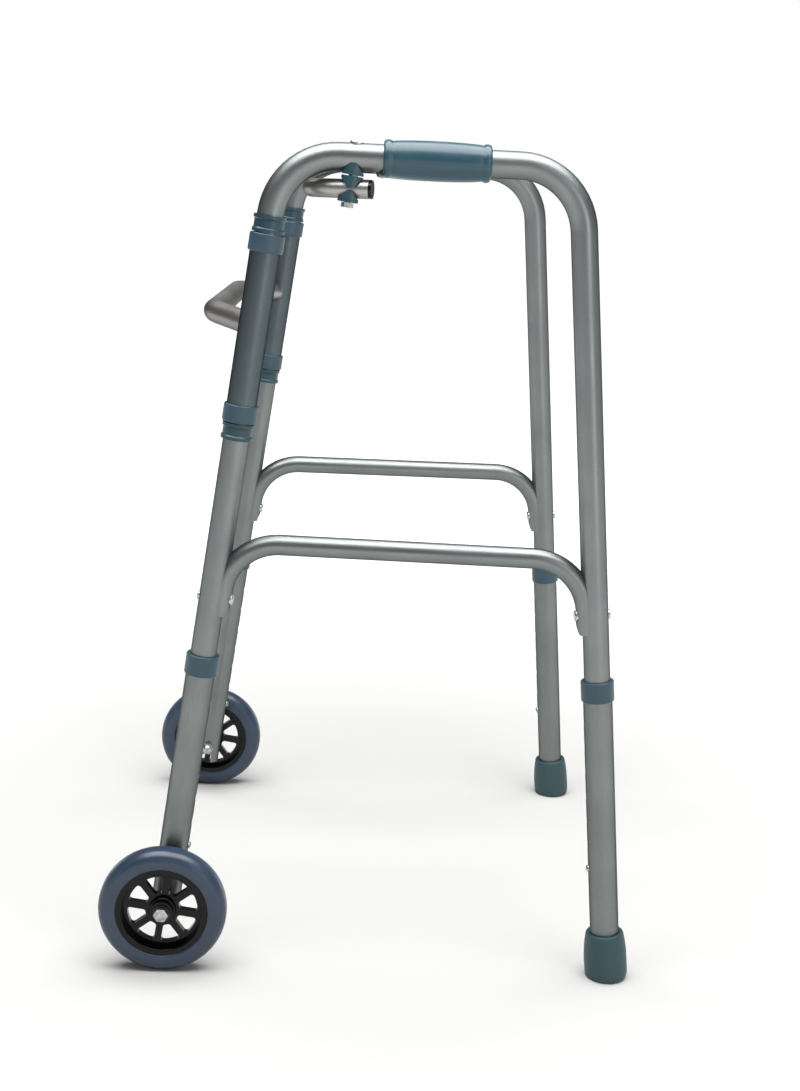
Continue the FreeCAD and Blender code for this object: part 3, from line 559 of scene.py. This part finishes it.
# ---------------------------------------------------------------- hand grips
@dataclass
class HandGrips:
    """Moulded vinyl sleeves on the rails: a bead at each end and a barrel between them."""

    shop: Workshop
    rail_drop_deg: float = 0.8
    bore_r: float = 12.75
    bead_r: float = 17.3
    bead_width: float = 8.4
    neck_r: float = 15.9
    barrel_r: float = 17.7
    belly: float = 0.7
    end_r: float = 15.4
    ridge: float = 0.14
    ridge_half_width: float = 0.5
    edge_run: float = 1.0
    edge_drop: float = 1.3
    lug_reach: float = 3.6
    lug_run: float = 3.0
    lug_half_angle: float = 0.6
    rows: int = 150
    turns: int = 144

    def outline(self, length: float) -> np.ndarray:
        """The grip's section as a loop of (radius, height).

        The barrel swells as the square root of a half sine wave from neck to neck, and each bead is
        a raised half cosine over its width. The last millimetre drops by a square law, as an edge.

        Args:
            length: the grip's length.

        Returns:
            Outer side from front to rear, then back along the bore.
        """
        height = np.linspace(0, length, self.rows)
        share = np.clip((height - self.bead_width) / (length - 2 * self.bead_width), 0, 1)
        barrel = self.neck_r + (self.barrel_r - self.neck_r) * np.sqrt(np.sin(math.pi * share))
        from_end = np.minimum(height, length - height)
        bead = np.cos(np.clip(from_end / self.bead_width * 2 - 1, -1, 1) * math.pi / 2)
        radius = barrel + (self.bead_r - self.neck_r) * bead
        edge = np.clip(1 - from_end / self.edge_run, 0, 1)
        radius = radius - edge**2 * self.edge_drop
        outer = np.stack([radius, height], 1)
        bore = np.stack([np.full(8, self.bore_r), np.linspace(length, 0, 8)], 1)
        return np.vstack([outer, bore])

    def build(self, side: str) -> None:
        """Makes one grip and puts it on its rail.

        Args:
            side: left or right.
        """
        node = f"{side}_hand_grip"
        drop = math.radians(self.rail_drop_deg)
        axis = np.array([math.cos(drop), 0.0, -math.sin(drop)])
        corners = node_points(self.shop.nodes[node])
        on_rail = (corners.min(axis=0) + corners.max(axis=0)) / 2
        low, high = self.shop.span(node, on_rail, axis)
        place = Place.on_axis(on_rail + axis * low * MM, axis, np.array([0.0, 0.0, -1.0]))
        outline = self.outline(high - low)
        angle = np.linspace(0, 2 * math.pi, self.turns, endpoint=False)
        outer = np.arange(len(outline)) < self.rows
        share = np.where(outer, outline[:, 1] / (high - low), 0.0)
        belly = self.belly * np.sin(math.pi * share)[:, None] * np.clip(np.cos(angle), 0, 1) ** 2
        seam_distance = np.abs(np.sin(angle - math.pi / 2)) * self.barrel_r
        seam = self.ridge * np.exp(-((seam_distance / self.ridge_half_width) ** 2))
        grid = turned_grid(outline, self.turns, belly + seam * outer[:, None])
        bottom = np.clip(1 - (np.minimum(angle, 2 * math.pi - angle) / self.lug_half_angle) ** 2, 0, 1)
        front = np.clip(1 - outline[:, 1] / self.lug_run, 0, 1)
        grid[..., 2] -= self.lug_reach * front[:, None] * bottom
        piece = skin(f"{side}_grip", place.points(grid), looped=True)
        self.shop.install(piece, node, "grip_vinyl", "grip_vinyl", f"{side}_frame")


# ---------------------------------------------------------------- rubber tips
@dataclass
class RubberTips:
    """Moulded rubber feet: a soft bulge, a rounded rim and ringed soles, cut level on the floor."""

    shop: Workshop
    sole_r: float = 16.5
    bulge_r: float = 21.4
    bulge_up: float = 14.0
    neck_r: float = 19.2
    rim_r: float = 17.9
    cup_r: float = 14.35
    height: float = 47.6
    floor: float = 5.0
    groove_depth: float = 1.2
    groove_rings: tuple[float, float] = (5.6, 11.6)
    groove_half_floor: float = 1.0
    groove_half_width: float = 1.6

    def outline(self) -> np.ndarray:
        """The tip's section from the middle of its sole round to the middle of its cup.

        Returns:
            Rows of (radius, height).
        """
        sole = [(0.0, 0.0)]
        for ring in self.groove_rings:
            sole += [
                (ring - self.groove_half_width, 0.0),
                (ring - self.groove_half_floor, self.groove_depth),
                (ring + self.groove_half_floor, self.groove_depth),
                (ring + self.groove_half_width, 0.0),
            ]
        sole.append((self.sole_r, 0.0))
        wall = [
            (self.bulge_r - 0.9, 0.3),
            (self.bulge_r, 6.0),
            (self.bulge_r + 0.2, self.bulge_up + 4.0),
            (self.neck_r + 1.7, self.height - 14),
            (self.neck_r, self.height - 3),
            (self.rim_r + 0.6, self.height - 0.5),
            (self.rim_r - 0.8, self.height),
            (self.cup_r + 0.5, self.height - 0.2),
        ]
        inside = [(self.cup_r, self.height - 2), (self.cup_r, self.floor), (0.0, self.floor)]
        return np.vstack([np.array(sole[:-1]), softened(np.array(sole[-1:] + wall)), np.array(inside)])

    def build(self, side: str) -> None:
        """Makes one tip on its rear leg.

        Args:
            side: left or right.
        """
        foot = np.array(self.shop.mounts[f"{side}_tip_rest"]["pos_m"], float)
        place = Place.on_axis(foot, self.shop.leg_up(side, "rear"), np.array([1.0, 0.0, 0.0]))
        grid = place.points(turned_grid(self.outline(), 96))
        reach = self.bulge_up * MM
        lean = place.along[:2] / place.along[2]
        share = np.clip(grid[..., 2] / reach, 0, 1)[..., None]
        upright = grid[..., :2] - lean * (grid[..., 2:3])
        grid[..., :2] = np.where(share < 1, upright + lean * grid[..., 2:3] * share, grid[..., :2])
        grid[..., 2] = np.maximum(grid[..., 2], 0.0)
        piece = skin(f"{side}_tip", grid, looped=False)
        self.shop.install(piece, f"{side}_rubber_tip", "tip_rubber", "tip_rubber", f"{side}_rear_leg")


# ---------------------------------------------------------------- wheels
@dataclass
class Wheels:
    """Smooth solid tyres on gloss rims."""

    shop: Workshop
    radius: float = 63.5
    half_width: float = 14.0
    seat_r: float = 45.56
    lip_r: float = 47.2
    line_r: float = 57.6
    line_depth: float = 0.25
    line_half_width: float = 0.5
    turns: int = 180

    def outline(self) -> np.ndarray:
        """The tyre's section: flat tread, round shoulders, slightly hollow lips and a line round each side.

        Returns:
            A loop of (radius, height).
        """
        half = self.half_width
        corners = [
            (self.seat_r, -half + 2.2),
            (self.seat_r, -half + 0.9),
            (self.lip_r, -half + 0.1),
            (self.lip_r + 4.5, -half),
            (self.radius - 5.5, -half + 1.2),
            (self.radius - 1.2, -half + 5.6),
            (self.radius, -4.5),
        ]
        mirrored = [(r, -h) for r, h in reversed(corners)]
        outline = softened(np.array(corners + mirrored), rounds=4, closed=True)
        line = self.line_depth * np.exp(-(((outline[:, 0] - self.line_r) / self.line_half_width) ** 2))
        outline[:, 1] -= np.sign(outline[:, 1]) * line
        return outline

    def build(self, side: str) -> None:
        """Makes one tyre.

        Args:
            side: left or right.
        """
        node = f"{side}_tyre"
        centre = np.array(self.shop.joints[f"{side}_wheel_spin"]["pos_m"], float)
        axis = np.array([0.0, 1.0, 0.0])
        low, high = self.shop.span(node, centre, axis)
        middle = centre + axis * (low + high) / 2 * MM
        place = Place.on_axis(middle, axis, np.array([0.0, 0.0, -1.0]))
        piece = turned(f"{side}_tyre_ring", self.outline(), place, looped=True, turns=self.turns)
        self.shop.install(piece, node, "tyre_rubber", "tyre_rubber", f"{side}_wheel")
        self.shop.dress("rim_plastic", f"{side}_wheel_rim")
        self.shop.dress("bush_plastic", f"{side}_hub_bushes")
        self.shop.dress("zinc_steel", f"{side}_axle_bolt", f"{side}_axle_nut", f"{side}_axle_spacer")


# ---------------------------------------------------------------- tubes, collars and links
@dataclass
class SideFrame:
    """One side's tubes, collars, saddles and fasteners."""

    shop: Workshop

    def build(self, side: str) -> None:
        """Dresses one side.

        Args:
            side: left or right.
        """
        dress = self.shop.dress
        dress("tube_bent", f"{side}_side_tube", f"{side}_side_brace")
        dress("tube_upright", f"{side}_front_leg", f"{side}_rear_leg")
        dress("sleeve", f"{side}_sleeve")
        dress(
            "slate_nylon", f"{side}_sleeve_bushes", f"{side}_front_leg_collar", f"{side}_rear_leg_collar"
        )
        dress("teal_nylon", f"{side}_stop_collars", f"{side}_rail_saddle", f"{side}_bar_saddles")
        dress(
            "zinc_steel",
            f"{side}_brace_bolts",
            f"{side}_brace_nuts",
            f"{side}_link_bolt",
            f"{side}_link_nut",
            f"{side}_front_button",
            f"{side}_rear_button",
            f"{side}_tip_washer",
        )
        dress("spring_steel", f"{side}_front_button_spring", f"{side}_rear_button_spring")


@dataclass
class CrossBars:
    """The front bow and the link bar."""

    shop: Workshop

    def build(self) -> None:
        """Dresses both bars and the link bar's end caps."""
        self.shop.dress("tube_crosswise", "bow_bar", "link_bar")
        self.shop.dress("rim_plastic", "link_end_caps")


# ---------------------------------------------------------------- studio
@dataclass(frozen=True)
class SoftBox:
    """One soft lamp: where it hangs, what it faces, its sides in metres, and its power."""

    name: str
    position: tuple[float, float, float]
    target: tuple[float, float, float]
    sides: tuple[float, float]
    watts: float

    def build(self) -> None:
        """Adds the lamp."""
        data = bpy.data.lights.new(self.name, "AREA")
        data.shape = "RECTANGLE"
        data.size, data.size_y = self.sides
        data.energy = self.watts
        lamp = bpy.data.objects.new(self.name, data)
        lamp.location = self.position
        heading = Vector(self.target) - Vector(self.position)
        lamp.rotation_euler = heading.to_track_quat("-Z", "Y").to_euler()
        bpy.context.scene.collection.objects.link(lamp)


@dataclass
class Studio:
    """A pale floor, a white surround, soft lamps above and on the camera's side, and the camera."""

    camera_position: tuple[float, float, float] = (-0.0207, -1.7232, 0.7753)
    yaw_deg: float = 1.5954
    pitch_down_deg: float = 12.8665
    roll_deg: float = 2.1251
    lens_mm: float = 52.81
    sensor_mm: float = 36.0
    floor_radius: float = 30.0
    floor_colour: str = "c6c6c4"
    floor_roughness: float = 0.9
    floor_gloss: float = 0.1
    world_strength: tuple[float, float] = (0.08, 0.3)
    white_from_m: float = 0.3
    white_to_m: float = 2.2

    def build(self) -> None:
        """Adds floor, world, lamps and camera."""
        self.floor()
        self.world()
        SoftBox(
            "overhead", position=(0.0, -0.2, 2.3), target=(0.0, 0.0, 0.4), sides=(2.8, 2.0), watts=120.0
        ).build()
        SoftBox(
            "front_fill", position=(1.5, -2.5, 1.1), target=(0.0, 0.0, 0.4), sides=(0.9, 1.6), watts=11.0
        ).build()
        self.camera()
        bpy.context.scene.view_settings.view_transform = "Standard"

    def floor(self) -> None:
        """A wide matt disc under the tips and wheels, which brightens to white away from the frame."""
        angle = np.linspace(0, 2 * math.pi, 128, endpoint=False)
        ring = np.stack([np.cos(angle), np.sin(angle), np.zeros_like(angle)], 1) * self.floor_radius
        mesh = bpy.data.meshes.new("floor")
        mesh.from_pydata(ring.tolist(), [], [list(range(len(ring)))])
        disc = bpy.data.objects.new("floor", mesh)
        bpy.context.scene.collection.objects.link(disc)
        made, tree, shader = new_material("pale_floor")
        shader.inputs["Base Color"].default_value = linear(self.floor_colour)
        shader.inputs["Roughness"].default_value = self.floor_roughness
        shader.inputs["Specular IOR Level"].default_value = self.floor_gloss
        shader.inputs["Emission Color"].default_value = linear("ffffff")
        place = add_node(tree, "ShaderNodeTexCoord").outputs["Object"]
        distance = add_node(tree, "ShaderNodeVectorMath", {"operation": "LENGTH"}, Vector=place)
        glow = add_node(
            tree,
            "ShaderNodeMapRange",
            {"interpolation_type": "SMOOTHSTEP"},
            Value=distance.outputs["Value"],
            From_Min=self.white_from_m,
            From_Max=self.white_to_m,
        )
        tree.links.new(glow.outputs[0], shader.inputs["Emission Strength"])
        disc.data.materials.append(made)

    def world(self) -> None:
        """A surround that the camera sees as white, and that lights the frame more from its rear."""
        world = bpy.data.worlds.new("studio")
        world.use_nodes = True
        tree = world.node_tree
        seen = tree.nodes["Background"]
        seen.inputs["Color"].default_value = linear("ffffff")
        seen.inputs["Strength"].default_value = 1.0
        heading = add_node(tree, "ShaderNodeTexCoord").outputs["Generated"]
        parts = add_node(tree, "ShaderNodeSeparateXYZ", Vector=heading)
        weak, strong = self.world_strength
        strength = add_node(
            tree,
            "ShaderNodeMapRange",
            Value=parts.outputs["X"],
            From_Min=-1.0,
            From_Max=1.0,
            To_Min=weak,
            To_Max=strong,
        )
        lighting = add_node(
            tree, "ShaderNodeBackground", Color=linear("ffffff"), Strength=strength.outputs[0]
        )
        ray = add_node(tree, "ShaderNodeLightPath").outputs["Is Camera Ray"]
        choice = add_node(tree, "ShaderNodeMixShader", Fac=ray)
        tree.links.new(lighting.outputs[0], choice.inputs[1])
        tree.links.new(seen.outputs[0], choice.inputs[2])
        tree.links.new(choice.outputs[0], tree.nodes["World Output"].inputs["Surface"])
        bpy.context.scene.world = world

    def camera(self) -> None:
        """Adds the camera, turned by its yaw, pitch and roll."""
        yaw, pitch, roll = (math.radians(a) for a in (self.yaw_deg, self.pitch_down_deg, self.roll_deg))
        ahead = Vector((math.sin(yaw) * math.cos(pitch), math.cos(yaw) * math.cos(pitch), -math.sin(pitch)))
        level = Vector((math.cos(yaw), -math.sin(yaw), 0.0))
        above = level.cross(ahead)
        right = level * math.cos(roll) + above * math.sin(roll)
        up = above * math.cos(roll) - level * math.sin(roll)
        data = bpy.data.cameras.new("camera")
        data.lens = self.lens_mm
        data.sensor_width = self.sensor_mm
        camera = bpy.data.objects.new("camera", data)
        turn = Matrix((right, up, -ahead)).transposed().to_4x4()
        camera.matrix_world = Matrix.Translation(Vector(self.camera_position)) @ turn
        bpy.context.scene.collection.objects.link(camera)
        bpy.context.scene.camera = camera


def empty_scene() -> None:
    """Removes whatever the starting file holds."""
    for thing in list(bpy.data.objects):
        bpy.data.objects.remove(thing)


def main() -> None:
    """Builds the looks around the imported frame."""
    logging.basicConfig(level=logging.INFO, format="%(name)s: %(message)s")
    empty_scene()
    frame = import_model()
    record = frame["record"]
    shop = Workshop(
        nodes=frame["nodes"],
        joints={joint["name"]: joint for joint in frame["joints"]},
        mounts={mount["name"]: mount for mount in record["mounts"]},
        paint=Paintbox(),
    )
    grips, tips, wheels, side_frame = HandGrips(shop), RubberTips(shop), Wheels(shop), SideFrame(shop)
    for side in SIDES:
        for assembly in (side_frame, grips, tips, wheels):
            assembly.build(side)
    CrossBars(shop).build()
    Studio().build()


if __name__ == "__main__":
    main()
